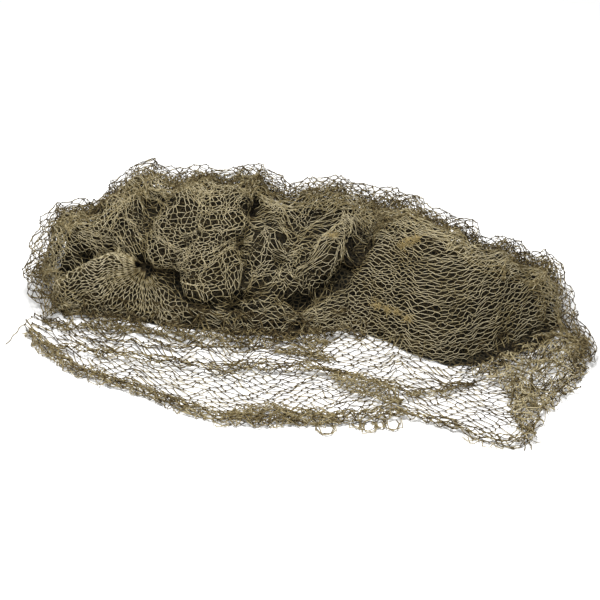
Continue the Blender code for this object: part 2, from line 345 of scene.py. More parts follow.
# ---------------------------------------------------------------------------------------------
# Netting twine: matt two-ply cotton, khaki, knotted at every crossing; its layers within the heap
# are painted darker and browner, as painted shade. Each leg of the mesh is a thin curved strand,
# and each knot a small hard lump.
# ---------------------------------------------------------------------------------------------
TWINE_THICKNESS = 0.0015
LEG = 0.016
LEG_SLACK = 1.05
LEG_BOW = 0.38
LEG_LEAN = (0.9, 0.45)
LEG_TONES = 0.16
TWINE_SHAKE = 0.0004
KNOT_SHARE = 2.1
KNOT_SIZES = (0.75, 1.25)
KNOT_HALF = 0.0016
KNOT_LENGTHS = (0.4, 1.6)
ANY_TURN = (6.28, 6.28, 6.28)
KNOT_DARKER = 0.20
PATCH_SHARE = 0.45
STRAND_SHARE = 0.55
# From near black and dark brown, the painted shade of twine deep in the heap, up to the khaki of lit
# twine.
TWINE_COLOURS = (
    (0.00, (0.008, 0.006, 0.002, 1.0)),
    (0.28, (0.054, 0.036, 0.012, 1.0)),
    (0.55, (0.200, 0.156, 0.070, 1.0)),
    (0.78, (0.368, 0.312, 0.180, 1.0)),
    (1.00, (0.470, 0.410, 0.270, 1.0)),
)


def twine_material():
    material = bpy.data.materials.new("khaki netting twine")
    material.use_nodes = True
    nodes, links = material.node_tree.nodes, material.node_tree.links
    shader = nodes["Principled BSDF"]
    place = nodes.new("ShaderNodeTexCoord")
    patches = nodes.new("ShaderNodeTexNoise")
    patches.inputs["Scale"].default_value = 14.0
    patches.inputs["Detail"].default_value = 4.0
    strands = nodes.new("ShaderNodeTexNoise")
    strands.inputs["Scale"].default_value = 160.0
    strands.inputs["Detail"].default_value = 3.0
    tone = nodes.new("ShaderNodeAttribute")
    tone.attribute_name = "tone"
    mixed = nodes.new("ShaderNodeMath")
    mixed.operation = "MULTIPLY_ADD"
    mixed.inputs[1].default_value = PATCH_SHARE
    colours = nodes.new("ShaderNodeValToRGB")
    ramp = colours.color_ramp
    ramp.elements[0].position, ramp.elements[0].color = TWINE_COLOURS[0]
    ramp.elements[1].position, ramp.elements[1].color = TWINE_COLOURS[-1]
    for position, colour in TWINE_COLOURS[1:-1]:
        ramp.elements.new(position).color = colour
    light = nodes.new("ShaderNodeMath")
    light.operation = "MULTIPLY_ADD"
    light.inputs[1].default_value = STRAND_SHARE
    links.new(place.outputs["Object"], patches.inputs["Vector"])
    links.new(place.outputs["Object"], strands.inputs["Vector"])
    links.new(strands.outputs["Fac"], light.inputs[0])
    links.new(tone.outputs["Fac"], light.inputs[2])
    links.new(patches.outputs["Fac"], mixed.inputs[0])
    links.new(light.outputs[0], mixed.inputs[2])
    links.new(mixed.outputs[0], colours.inputs["Fac"])
    links.new(colours.outputs["Color"], shader.inputs["Base Color"])
    bump = nodes.new("ShaderNodeBump")
    bump.inputs["Strength"].default_value = 0.5
    bump.inputs["Distance"].default_value = 0.0004
    fibres = nodes.new("ShaderNodeTexNoise")
    fibres.inputs["Scale"].default_value = 1400.0
    links.new(place.outputs["Object"], fibres.inputs["Vector"])
    links.new(fibres.outputs["Fac"], bump.inputs["Height"])
    links.new(bump.outputs["Normal"], shader.inputs["Normal"])
    shader.inputs["Roughness"].default_value = 0.92
    shader.inputs["Specular IOR Level"].default_value = 0.25
    return material


khaki = twine_material()


def twine_group():
    """Lines become thin three-sided strands, and points marked as knots get a small lump."""
    group = bpy.data.node_groups.new("twine from lines", "GeometryNodeTree")
    group.interface.new_socket("Geometry", in_out="INPUT", socket_type="NodeSocketGeometry")
    group.interface.new_socket("Radius", in_out="INPUT", socket_type="NodeSocketFloat")
    group.interface.new_socket("Geometry", in_out="OUTPUT", socket_type="NodeSocketGeometry")
    nodes, links = group.nodes, group.links
    lines = nodes.new("NodeGroupInput")
    made = nodes.new("NodeGroupOutput")
    strand = nodes.new("GeometryNodeMeshToCurve")
    profile = nodes.new("GeometryNodeCurvePrimitiveCircle")
    profile.inputs["Resolution"].default_value = 3
    sweep = nodes.new("GeometryNodeCurveToMesh")
    knot = nodes.new("GeometryNodeMeshUVSphere")
    knot.inputs["Segments"].default_value = 4
    knot.inputs["Rings"].default_value = 2
    knot_size = nodes.new("ShaderNodeMath")
    knot_size.operation = "MULTIPLY"
    knot_size.inputs[1].default_value = KNOT_SHARE
    marked = nodes.new("GeometryNodeInputNamedAttribute")
    marked.data_type = "BOOLEAN"
    marked.inputs["Name"].default_value = "knot"
    turn = nodes.new("FunctionNodeRandomValue")
    turn.data_type = "FLOAT_VECTOR"
    turn.inputs["Max"].default_value = ANY_TURN
    size = nodes.new("FunctionNodeRandomValue")
    size.data_type = "FLOAT"
    size.inputs[2].default_value, size.inputs[3].default_value = KNOT_SIZES
    spread = nodes.new("GeometryNodeInstanceOnPoints")
    real = nodes.new("GeometryNodeRealizeInstances")
    both = nodes.new("GeometryNodeJoinGeometry")
    links.new(lines.outputs["Radius"], profile.inputs["Radius"])
    links.new(lines.outputs["Radius"], knot_size.inputs[0])
    links.new(knot_size.outputs[0], knot.inputs["Radius"])
    links.new(lines.outputs["Geometry"], strand.inputs["Mesh"])
    links.new(strand.outputs["Curve"], sweep.inputs["Curve"])
    links.new(profile.outputs["Curve"], sweep.inputs["Profile Curve"])
    links.new(lines.outputs["Geometry"], spread.inputs["Points"])
    links.new(marked.outputs["Attribute"], spread.inputs["Selection"])
    links.new(knot.outputs["Mesh"], spread.inputs["Instance"])
    links.new(turn.outputs["Value"], spread.inputs["Rotation"])
    links.new(size.outputs[1], spread.inputs["Scale"])
    links.new(spread.outputs["Instances"], real.inputs["Geometry"])
    links.new(sweep.outputs["Mesh"], both.inputs["Geometry"])
    links.new(real.outputs["Geometry"], both.inputs["Geometry"])
    links.new(both.outputs["Geometry"], made.inputs["Geometry"])
    return group


twine_maker = twine_group()


def mesh_legs(kept):
    """Index pairs of the legs of a diamond mesh whose rows are set half a mesh apart."""
    rows, columns = kept.shape
    number = np.arange(rows * columns).reshape(rows, columns)
    pairs = []
    for row in range(rows - 1):
        step = row % 2
        straight = (number[row], number[row + 1])
        if step:
            slanted = (number[row, :-1], number[row + 1, 1:])
        else:
            slanted = (number[row, 1:], number[row + 1, :-1])
        pairs += [np.stack(straight, 1), np.stack(slanted, 1)]
    pairs = np.concatenate(pairs)
    return pairs[kept.ravel()[pairs].all(axis=1)]


def net_twine(net, steps, longest, lumps, rng):
    """The twine of one net, given as a grid of knots, a mask and a tone: its points, edges, knot
    marks and tones, its number of legs and the length of its twine. A knot is a short link
    between the two legs that come in and the two that go out, and a leg is a slack bow."""
    grid, kept, tone = net
    pairs = mesh_legs(kept)
    way = np.gradient(grid, axis=0)
    way /= np.linalg.norm(way, axis=2, keepdims=True) + 1e-9
    way = way * KNOT_HALF * rng.uniform(*KNOT_LENGTHS, grid.shape[:2])[..., None]
    low, high = (grid - way).reshape(-1, 3), (grid + way).reshape(-1, 3)
    reach = np.linalg.norm(low[pairs[:, 1]] - high[pairs[:, 0]], axis=1)
    pairs, reach = pairs[reach < longest * LEG], reach[reach < longest * LEG]
    legs, used = len(pairs), np.unique(pairs)
    knots = len(used)
    renumber = np.full(len(low), -1)
    renumber[used] = np.arange(knots)
    first, last = high[pairs[:, 0]], low[pairs[:, 1]]
    slack = np.clip(LEG_SLACK * LEG - reach, 0.0, 0.5 * LEG)
    bow = np.sqrt(0.375 * reach * slack) * LEG_BOW
    side = np.cross(last - first, rng.normal(size=first.shape))
    side /= np.linalg.norm(side, axis=1, keepdims=True) + 1e-9
    inner = []
    for step in range(1, steps):
        lean = rng.normal(*LEG_LEAN, legs)[:, None]
        spot = first + (last - first) * (step / steps) + side * bow[:, None] * lean
        inner.append(spot + rng.normal(0.0, TWINE_SHAKE, spot.shape))
    inner = np.stack(inner, 1)
    chain = np.empty((legs, steps + 1), int)
    chain[:, 0] = renumber[pairs[:, 0]] + knots
    chain[:, -1] = renumber[pairs[:, 1]]
    chain[:, 1:-1] = 2 * knots + np.arange(legs * (steps - 1)).reshape(legs, -1)
    links = np.arange(knots)[:, None] + np.array([0, knots])
    edges = np.concatenate([np.stack([chain[:, :-1], chain[:, 1:]], 2).reshape(-1, 2), links])
    base = np.broadcast_to(tone, grid.shape[:2]).reshape(-1)
    leg_tones = base[pairs].mean(axis=1) + rng.normal(0.0, LEG_TONES, legs)
    knot_tones = base[used] - KNOT_DARKER
    points = np.concatenate([low[used], high[used], inner.reshape(-1, 3)])
    tones = np.concatenate([knot_tones, knot_tones, leg_tones.repeat(steps - 1)])
    marks = np.zeros(len(points), bool)
    marks[knots : 2 * knots] = lumps
    return points, edges, marks, tones, legs, float(reach.sum()) + 2 * KNOT_HALF * knots


def wire_piece(
    name, nets, seed, steps=3, longest=1.7, thickness=TWINE_THICKNESS, lumps=True, strands=(), paint=khaki
):
    """A piece of netting from one or more nets, and from strands, which are single runs of twine,
    each a list of points and a tone."""
    rng = np.random.default_rng(seed)
    points, edges, marks, tones = [], [], [], []
    start, legs, run = 0, 0, 0.0
    for net in nets:
        spots, pairs, knots, shades, net_legs, net_run = net_twine(net, steps, longest, lumps, rng)
        points.append(spots)
        edges.append(pairs + start)
        marks.append(knots)
        tones.append(shades)
        start, legs, run = start + len(spots), legs + net_legs, run + net_run
    for line, tone in strands:
        points.append(np.array(line, float))
        edges.append(np.stack([np.arange(len(line) - 1), np.arange(1, len(line))], 1) + start)
        marks.append(np.zeros(len(line), bool))
        tones.append(np.full(len(line), tone))
        start += len(line)
    points, edges = np.concatenate(points), np.concatenate(edges)
    points[:, 2] = np.maximum(points[:, 2], KNOT_SHARE * thickness / 2 * KNOT_SIZES[1])
    mesh = bpy.data.meshes.new(name)
    mesh.vertices.add(len(points))
    mesh.edges.add(len(edges))
    mesh.vertices.foreach_set("co", points.astype(np.float32).ravel())
    mesh.edges.foreach_set("vertices", edges.astype(np.int32).ravel())
    mesh.attributes.new("knot", "BOOLEAN", "POINT").data.foreach_set("value", np.concatenate(marks))
    shade = mesh.attributes.new("tone", "FLOAT", "POINT")
    shade.data.foreach_set("value", np.concatenate(tones).astype(np.float32))
    piece = bpy.data.objects.new(name, mesh)
    bpy.context.scene.collection.objects.link(piece)
    bpy.ops.object.select_all(action="DESELECT")
    piece.select_set(True)
    bpy.context.view_layer.objects.active = piece
    modifier = piece.modifiers.new("twine", "NODES")
    modifier.node_group = twine_maker
    modifier["Socket_1"] = thickness / 2
    bpy.ops.object.modifier_apply(modifier=modifier.name)
    piece.data.materials.clear()
    piece.data.materials.append(paint)
    bpy.ops.object.shade_smooth()
    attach(piece, "root")
    return piece


def diamond_grid(width, length, mesh_width, mesh_length):
    """Even positions of the knots of a slack net, centred on 0: across, and along."""
    rows = int(2 * length / mesh_length) + 1
    columns = int(width / mesh_width) + 1
    row, column = np.meshgrid(np.arange(rows), np.arange(columns), indexing="ij")
    across = (column + 0.5 * (row % 2)) * mesh_width - width / 2
    along = row * mesh_length / 2 - length / 2
    return across, along


# ---------------------------------------------------------------------------------------------
# Packed middle: the innermost folds, pressed together so tightly that no light comes through. It
# is one rough sheet, painted near black as the painted shade of the net within, that closes
# under the nets, inside the heap's outer layer. Under the right-hand fold its foot comes forward
# as painted shadow on the ground.
# ---------------------------------------------------------------------------------------------
PACKED_ENDS = (-0.504, 0.486)
PACKED_END_RUN = 0.022
PACKED_END_WIDTH = 0.35
PACKED_DEPTH = 0.024
FOOT_DEPTH = 0.004
FOOT_RISE = 0.003
FOOT_RUN = 0.12
RIGHT_DEPTH = 0.012
RIGHT_FROM = 0.37
RIGHT_RUN = 0.05
PACKED_ROUGHNESS = 0.0035
# How far the dark sheet's foot comes forward under the right-hand fold: painted shadow on the ground
# there.
SHADOW_UNDER_FOLD = ((0.24, 0.0), (0.31, 0.030), (0.43, 0.042), (0.48, 0.020))
CREASE_FILL = 0.4
# Both colours are painted shade: the net deep in the heap, and its fold edges a little less dark.
PACKED_EDGE_SHADE_COLOUR = (0.050, 0.040, 0.022, 1.0)
PACKED_SHADE_COLOUR = (0.006, 0.006, 0.005, 1.0)


def packed_shade_material():
    """Pressed netting painted near black as painted shade, with the edges of its folds painted a little
    less dark, as twine in shade.
    """
    material = bpy.data.materials.new("packed netting in painted shade")
    material.use_nodes = True
    nodes, links = material.node_tree.nodes, material.node_tree.links
    shader = nodes["Principled BSDF"]
    place = nodes.new("ShaderNodeTexCoord")
    folds = nodes.new("ShaderNodeTexVoronoi")
    folds.feature = "DISTANCE_TO_EDGE"
    folds.inputs["Scale"].default_value = 110.0
    colours = nodes.new("ShaderNodeValToRGB")
    edge, between = colours.color_ramp.elements
    edge.position, edge.color = 0.02, PACKED_EDGE_SHADE_COLOUR
    between.position, between.color = 0.14, PACKED_SHADE_COLOUR
    links.new(place.outputs["Object"], folds.inputs["Vector"])
    links.new(folds.outputs["Distance"], colours.inputs["Fac"])
    links.new(colours.outputs["Color"], shader.inputs["Base Color"])
    shader.inputs["Roughness"].default_value = 1.0
    shader.inputs["Specular IOR Level"].default_value = 0.0
    return material


def grid_faces(rows, columns):
    """The four corners of each face of a sheet whose points lie in rows."""
    number = np.arange(rows * columns).reshape(rows, columns)
    corners = (number[:-1, :-1], number[:-1, 1:], number[1:, 1:], number[1:, :-1])
    return np.stack(corners, -1).reshape(-1, 4)


packed_x = np.linspace(*PACKED_ENDS, 150)
packed_t = np.linspace(0.0, 1.0, 90)
grid_x, grid_t = np.meshgrid(packed_x, packed_t, indexing="ij")
end_height = np.minimum(grid_x - packed_x[0], packed_x[-1] - grid_x) / PACKED_END_RUN
end_height = np.sqrt(np.clip(end_height, 0.0, 1.0))
on_skin = heap_place(grid_x, grid_t, np.zeros(grid_x.shape))
rough = drift(on_skin, 5, 0.03, PACKED_ROUGHNESS)[..., 0]
fill = CREASE_FILL * np.clip(pick(hollow_grid, grid_x, grid_t)[..., 0], 0.0, 0.02)
depth = PACKED_DEPTH - (PACKED_DEPTH - FOOT_DEPTH) * np.clip(1.0 - grid_t / FOOT_RUN, 0.0, 1.0)
depth = depth - (PACKED_DEPTH - RIGHT_DEPTH) * np.clip((grid_x - RIGHT_FROM) / RIGHT_RUN, 0.0, 1.0)
packed = heap_place(grid_x, grid_t, rough + fill - depth)
packed[..., 2] = np.clip(packed[..., 2] * end_height, LEAST_RISE, None)
middle_y = packed[:, :, 1].mean(axis=1, keepdims=True)
width = PACKED_END_WIDTH + (1.0 - PACKED_END_WIDTH) * end_height
packed[..., 1] = middle_y + (packed[..., 1] - middle_y) * width
# The foot brought forward under the right-hand fold is painted shadow.
packed[:, 0, 1] -= np.interp(packed_x, *zip(*SHADOW_UNDER_FOLD))
packed[:, 0, 2] = FOOT_RISE
packed_mesh = bpy.data.meshes.new("packed_middle")
packed_mesh.from_pydata(packed.reshape(-1, 3).tolist(), [], grid_faces(*grid_x.shape).tolist())
packed_middle = bpy.data.objects.new("packed_middle", packed_mesh)
bpy.context.scene.collection.objects.link(packed_middle)
packed_mesh.materials.append(packed_shade_material())
packed_mesh.shade_smooth()
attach(packed_middle, "root")

# ---------------------------------------------------------------------------------------------
# Nets of the heap: the same net lying slack and crossed, one layer over another. The outermost
# layers show each mesh, and the ones below, painted darker as painted shade, fill their gaps. At
# the left it is drawn together into a gather, and its edges are tucked in between the folds.
# ---------------------------------------------------------------------------------------------
EDGE_TUCK = 0.013
EDGE_TUCK_RUN = 0.017
# Painted shade and light on the heap's twine: darker in the creases, lighter on the sharp ridge, and
# darker where the skin turns away from view, fading out towards the back.
HOLLOW_SHADE = 16.0
RIDGE_LIGHT_AND_HOLLOW_SHADE = (-0.006, 0.026)
TURNED_SHADE = 0.6
TURNED_FROM = 0.62
TURNED_MOST = 0.45
BACK_FROM = 0.80
BACK_RUN = 0.15
OUTER_TWINE = 0.0011
UNDER_TWINE = 0.0012
SECOND_TWINE = 0.0014
NET_SPAN = 1.7
NET_FROM_FOOT = 0.3
# How unevenly a net lies, each as the length of a wave and how far it goes to either side.
WIDE_SLACK = (0.17, 0.012)
FOLD_SLACK = (0.055, 0.0045)
MESH_SLACK = (0.026, 0.0016)
UNEVEN_EDGE = (0.09, 0.006)
UNEVEN_TONE = (0.10, 0.06)
CRUMPLE_WAVE = 0.08
FINE_CRUMPLE_WAVE = 0.026
FINE_CRUMPLE = 0.6
KNOT_SHAKE = 0.0008
GATHER_HOLE = 0.007
CLOSED_WITHIN = 0.004
SPOKE_SLACK = (0.08, 0.006)
RING_SLACK = (0.035, 0.0018)
SLACK_FROM = 0.10
RING_DRAW = 0.80
SPOKES_LEFT = 0.50
SPOKES_UNEVEN = 0.06
# Painted shade at the gather: the twine is darker towards the pinch.
GATHER_SHADE = 0.45
GATHER_SHADE_RUN = 0.055


def lay_on_heap(across, along, seed, out, rough, tone, outline):
    """Knots at distances across and along the heap's skin, lifted out from it and crumpled, with
    painted shade in the hollows and where the skin turns away, and painted lighter on the sharp
    ridge. Past an outline seen from the front there are none, and towards it they sink."""
    x = np.interp(across, across_of, column_x)
    t = along / np.interp(x, column_x, length_of)
    plan = np.stack([across, along], -1)
    kept = (t > 0.0) & (t < 1.0)
    kept &= (x > LEFT_GAP - END_MARGIN - HALF) & (x < HALF - RIGHT_GAP + END_MARGIN)
    lift = out + drift(plan, seed + 2, CRUMPLE_WAVE, rough)[..., 0]
    lift = lift + drift(plan, seed + 3, FINE_CRUMPLE_WAVE, rough * FINE_CRUMPLE)[..., 0]
    inside = inside_by(outline, x, pick(seen_grid, x, t)[..., 0])
    inside = inside + drift(plan, seed + 5, *UNEVEN_EDGE)[..., 0]
    kept &= inside > 0.0
    lift = lift - EDGE_TUCK * np.clip(1.0 - inside / EDGE_TUCK_RUN, 0.0, 1.0) ** 2
    rng = np.random.default_rng(seed + 4)
    spots = heap_place(x, t, lift) + rng.normal(0.0, KNOT_SHAKE, x.shape + (3,))
    # Painted shade in the creases, a painted highlight on the sharp ridge, and painted shade where the
    # skin turns away.
    shade = HOLLOW_SHADE * np.clip(pick(hollow_grid, x, t)[..., 0], *RIDGE_LIGHT_AND_HOLLOW_SHADE)
    turned = np.clip(TURNED_FROM - pick(heap_out, x, t) @ TO_VIEWER, 0.0, TURNED_MOST)
    shade = shade + TURNED_SHADE * turned * np.clip((BACK_FROM - t) / BACK_RUN, 0.0, 1.0)
    return spots, kept, tone - shade + drift(plan, seed + 6, *UNEVEN_TONE)[..., 0]


def turned_net(span, turn_deg, mesh_width, mesh_length):
    """Places of the knots of a flat slack net, turned in its own plane."""
    across, along = diamond_grid(span, span, mesh_width, mesh_length)
    turn = math.radians(turn_deg)
    turned_across = across * math.cos(turn) - along * math.sin(turn)
    turned_along = across * math.sin(turn) + along * math.cos(turn)
    return np.stack([turned_across, turned_along], -1)


def heap_net(seed, turn_deg, mesh_width, mesh_length, out, rough, tone, outline, drawn=0.0, uneven=1.0):
    """A net laid over part of the heap, turned, drawn about a little and crumpled. It may be
    drawn in towards the gather, where its meshes close."""
    plan = turned_net(NET_SPAN, turn_deg, mesh_width, mesh_length) + np.array([0.0, NET_FROM_FOOT])
    wander = drift(plan, seed, *WIDE_SLACK) + drift(plan, seed + 1, *FOLD_SLACK)
    plan = plan + uneven * (wander + drift(plan, seed + 7, *MESH_SLACK))
    away = plan - np.array(GATHER)
    reach = np.maximum(np.linalg.norm(away, axis=-1), 1e-6)
    plan = np.array(GATHER) + away * np.clip(1.0 - drawn / reach, 0.0, 1.0)[..., None]
    spots, kept, tones = lay_on_heap(plan[..., 0], plan[..., 1], seed, out, rough, tone, outline)
    return spots, kept & (reach > drawn + CLOSED_WITHIN), tones


def along_at(x, seen_up):
    """Distance along the heap's skin from its foot to where it shows at a height in the view."""
    column = int(np.argmin(np.abs(column_x - x)))
    front = np.maximum.accumulate(seen_on[column]) + np.arange(STEPS) * 1e-7
    return float(np.interp(seen_up, front, np.linspace(0, length_of[column], STEPS)))


def gather_net(seed, spokes, radius, out, rough, tone, outline):
    """A net drawn together at the gather: its meshes run out from there like spokes, closest
    together to the left, and open as they go."""
    rings = [GATHER_HOLE]
    while rings[-1] < radius:
        mesh_width = 2 * math.pi * rings[-1] / spokes
        rings.append(rings[-1] + RING_DRAW * math.sqrt(LEG**2 - mesh_width**2 / 4))
    ring, spoke = np.meshgrid(np.arange(len(rings)), np.arange(spokes + 1), indexing="ij")
    away = np.array(rings)[ring]
    angle = (spoke + 0.5 * (ring % 2)) * 2 * math.pi / spokes
    angle = angle + SPOKES_LEFT * np.sin(angle) + SPOKES_UNEVEN * np.sin(4 * angle + seed)
    plan = np.stack([away * np.cos(angle), away * np.sin(angle)], -1)
    wander = drift(plan, seed, *SPOKE_SLACK) + drift(plan, seed + 1, *RING_SLACK)
    plan = plan + wander * np.clip(away / SLACK_FROM, 0.0, 1.0)[..., None]
    plan = plan + np.array(GATHER)
    spots, kept, tones = lay_on_heap(plan[..., 0], plan[..., 1], seed, out, rough, tone, outline)
    # Painted shade, darker towards the pinch of the gather.
    return spots, kept, tones - GATHER_SHADE * np.clip(1.0 - away / GATHER_SHADE_RUN, 0.0, 1.0)


# Outlines of the folds as seen from the front: sideways and up in that view. Past the crest,
# the height goes on rising towards the back.
CUSHION = (
    (0.135, 0.262), (0.123, 0.217), (0.088, 0.146), (0.056, 0.105), (-0.006, 0.073),
    (-0.019, 0.046), (0.031, 0.019), (0.075, 0.0), (0.180, -0.046), (0.238, -0.081), (0.315, -0.069),
    (0.365, -0.056), (0.430, -0.033), (0.486, -0.008), (0.502, 0.040), (0.496, 0.100),
    (0.440, 0.138), (0.384, 0.163), (0.330, 0.180), (0.276, 0.210), (0.230, 0.234), (0.192, 0.252),
)
BASIN = (
    (-0.092, 0.437), (-0.092, 0.265), (-0.115, 0.188), (-0.119, 0.073), (-0.040, 0.061),
    (0.012, 0.061), (0.065, 0.092), (0.100, 0.146), (0.134, 0.217), (0.165, 0.274), (0.165, 0.437),
)
MIDDLE_FOLD = (
    (-0.200, 0.457), (-0.205, 0.330), (-0.215, 0.250), (-0.225, 0.180), (-0.240, 0.125),
    (-0.246, 0.090), (-0.198, 0.061), (-0.152, 0.067), (-0.109, 0.078), (-0.109, 0.130),
    (-0.111, 0.188), (-0.088, 0.245), (-0.075, 0.284), (-0.069, 0.457),
)
TONGUE = (
    (-0.314, 0.143), (-0.342, 0.163), (-0.376, 0.175), (-0.415, 0.161), (-0.449, 0.140),
    (-0.490, 0.120), (-0.530, 0.104), (-0.526, 0.078), (-0.514, 0.040), (-0.488, 0.000),
    (-0.396, 0.003), (-0.300, 0.003), (-0.223, 0.030), (-0.194, 0.059), (-0.238, 0.093),
    (-0.270, 0.130),
)
LEFT_MOUND = (
    (-0.545, 0.121), (-0.490, 0.110), (-0.449, 0.128), (-0.415, 0.148), (-0.376, 0.160),
    (-0.342, 0.150), (-0.314, 0.136), (-0.280, 0.124), (-0.235, 0.112), (-0.205, 0.180),
    (-0.195, 0.250), (-0.185, 0.330), (-0.180, 0.457), (-0.480, 0.460), (-0.510, 0.240),
    (-0.530, 0.190),
)
LEFT_EDGE = (
    (-0.475, -0.020), (-0.488, 0.015), (-0.496, 0.040), (-0.500, 0.052), (-0.508, 0.078),
    (-0.522, 0.092), (-0.545, 0.121), (-0.534, 0.155), (-0.530, 0.190), (-0.522, 0.215),
    (-0.515, 0.240), (-0.525, 0.300), (-0.530, 0.460),
)
RIGHT_EDGE = (
    (0.500, 0.460), (0.500, 0.300), (0.500, 0.150), (0.500, 0.100), (0.500, 0.050),
    (0.502, 0.010), (0.500, -0.020), (0.476, -0.040), (0.430, -0.060),
)
HEAP_SEEN = LEFT_EDGE + ((-0.530, 0.900), (0.505, 0.900)) + RIGHT_EDGE + ((0.000, -0.120),)
FOOT_ROLL = (
    (-0.472, 0.073), (-0.300, 0.053), (-0.198, 0.073), (-0.108, 0.088), (-0.002, 0.080),
    (0.084, 0.034), (0.104, -0.020), (-0.012, -0.040), (-0.204, -0.030), (-0.396, -0.010),
    (-0.492, 0.010),
)
CROWN = (
    (-0.500, 0.195), (-0.460, 0.215), (-0.380, 0.245), (-0.300, 0.275), (-0.100, 0.270),
    (0.000, 0.258), (0.075, 0.250), (0.100, 0.205), (0.150, 0.205), (0.200, 0.225),
    (0.300, 0.182), (0.400, 0.140), (0.500, 0.100), (0.520, 0.250), (0.400, 0.340), (0.000, 0.440),
    (-0.400, 0.440), (-0.500, 0.360),
)
BACK = (
    (-0.520, 0.260), (-0.400, 0.360), (-0.200, 0.400), (0.100, 0.400), (0.300, 0.340),
    (0.500, 0.200), (0.520, 0.900), (-0.530, 0.900), (-0.530, 0.480),
)
GATHER = (float(np.interp(-0.314, column_x, across_of)), along_at(-0.314, 0.134))
# Each with its seed, turn, mesh width and length, distance out, roughness, tone and outline. A
# gather has its spokes and radius instead of the turn and the mesh.
# The nets that lie under the outer ones get low tones: painted shade of the layers within the heap.
wire_piece(
    "right_net",
    [
        heap_net(11, 8.0, 0.0215, 0.0105, 0.003, 0.003, 0.49, CUSHION, uneven=0.5),
        heap_net(10, -6.0, 0.0215, 0.0125, -0.005, 0.003, -0.26, CUSHION),
    ],
    seed=1,
    steps=2,
    thickness=OUTER_TWINE,
    lumps=False,
)
wire_piece(
    "middle_net",
    [
        heap_net(12, 62.0, 0.0100, 0.0115, 0.004, 0.005, 0.45, MIDDLE_FOLD, drawn=0.035, uneven=1.2),
        heap_net(16, 12.0, 0.0128, 0.0115, 0.000, 0.006, 0.49, BASIN, uneven=1.3),
        heap_net(15, -4.0, 0.0200, 0.0115, 0.000, 0.004, 0.52, FOOT_ROLL),
    ],
    seed=2,
    steps=2,
    longest=1.40,
    thickness=OUTER_TWINE,
    lumps=False,
)
wire_piece(
    "middle_net_under",
    [
        heap_net(22, 20.0, 0.0145, 0.0125, -0.004, 0.004, -0.24, MIDDLE_FOLD, drawn=0.030),
        heap_net(26, -30.0, 0.0165, 0.0140, -0.006, 0.004, -0.28, BASIN),
    ],
    seed=12,
    steps=2,
    thickness=UNDER_TWINE,
    lumps=False,
)
wire_piece(
    "left_net",
    [
        gather_net(13, 74, 0.220, 0.004, 0.003, 0.48, TONGUE),
        gather_net(18, 50, 0.210, -0.004, 0.003, -0.22, TONGUE),
        heap_net(14, -35.0, 0.0128, 0.0118, 0.001, 0.006, 0.47, LEFT_MOUND, drawn=0.035, uneven=1.2),
        heap_net(17, 20.0, 0.0170, 0.0144, -0.006, 0.004, -0.26, LEFT_MOUND, drawn=0.030),
    ],
    seed=3,
    steps=2,
    thickness=OUTER_TWINE,
    lumps=False,
)
wire_piece(
    "crown_net",
    [
        heap_net(19, 58.0, 0.0165, 0.0140, 0.002, 0.009, 0.16, CROWN),
        heap_net(20, -20.0, 0.0215, 0.0170, 0.002, 0.006, 0.30, BACK),
    ],
    seed=10,
    steps=2,
    thickness=UNDER_TWINE,
    lumps=False,
)
# The second net lies under all the others and is painted darkest, as painted shade.
second_net = wire_piece(
    "second_net",
    [heap_net(21, 32.0, 0.0215, 0.0165, -0.010, 0.004, -0.42, HEAP_SEEN)],
    seed=4,
    steps=2,
    thickness=SECOND_TWINE,
    lumps=False,
)
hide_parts("netting")

# ---------------------------------------------------------------------------------------------
# Rim: single turns of the net that stand up as loose see-through loops along the heap's skyline
# and round both ends, held only by the stiffness of the twine. Each turn goes up at the back,
# over and down in front.
# ---------------------------------------------------------------------------------------------
RIM_ROWS = 9
RIM_TURN = 1.8
RIM_WAVE = 0.12
RIM_UNEVEN = 0.45
RIM_SIZES = (0.5, 1.5)
RIM_SLACK = (0.05, 0.003)
RIM_SLACK_WAYS = np.array([1.0, 0.5, 0.3])
RIM_SHAKE = 0.0010
LOOP_TWINE = 0.0016
RIM_FOLD_TWINE = 0.0014


def even_line(line, step):
    """Points at even steps along a bent line."""
    line = np.array(line)
    along = np.concatenate([[0.0], np.cumsum(np.linalg.norm(np.diff(line, axis=0), axis=1))])
    spots = np.arange(0.0, along[-1], step)
    return np.stack([np.interp(spots, along, line[:, k]) for k in range(line.shape[1])], -1)


def seen_place(x, seen_up):
    """The place on the heap's front that shows at x and a height seen from the front, or the
    place above its crest."""
    columns = np.clip(np.searchsorted(column_x, x), 0, COLUMNS - 1)
    places = []
    for column, up in zip(columns, seen_up):
        last = int(crest[column] * (STEPS - 1))
        front = seen_on[column, : last + 1]
        at = np.interp(up, np.maximum.accumulate(front) + np.arange(last + 1) * 1e-7, np.arange(last + 1))
        place = np.array([np.interp(at, np.arange(STEPS), heap[column, :, k]) for k in range(3)])
        place[2] += max(up - front[-1], 0.0) / RISE_SEEN
        places.append(place)
    return np.array(places)


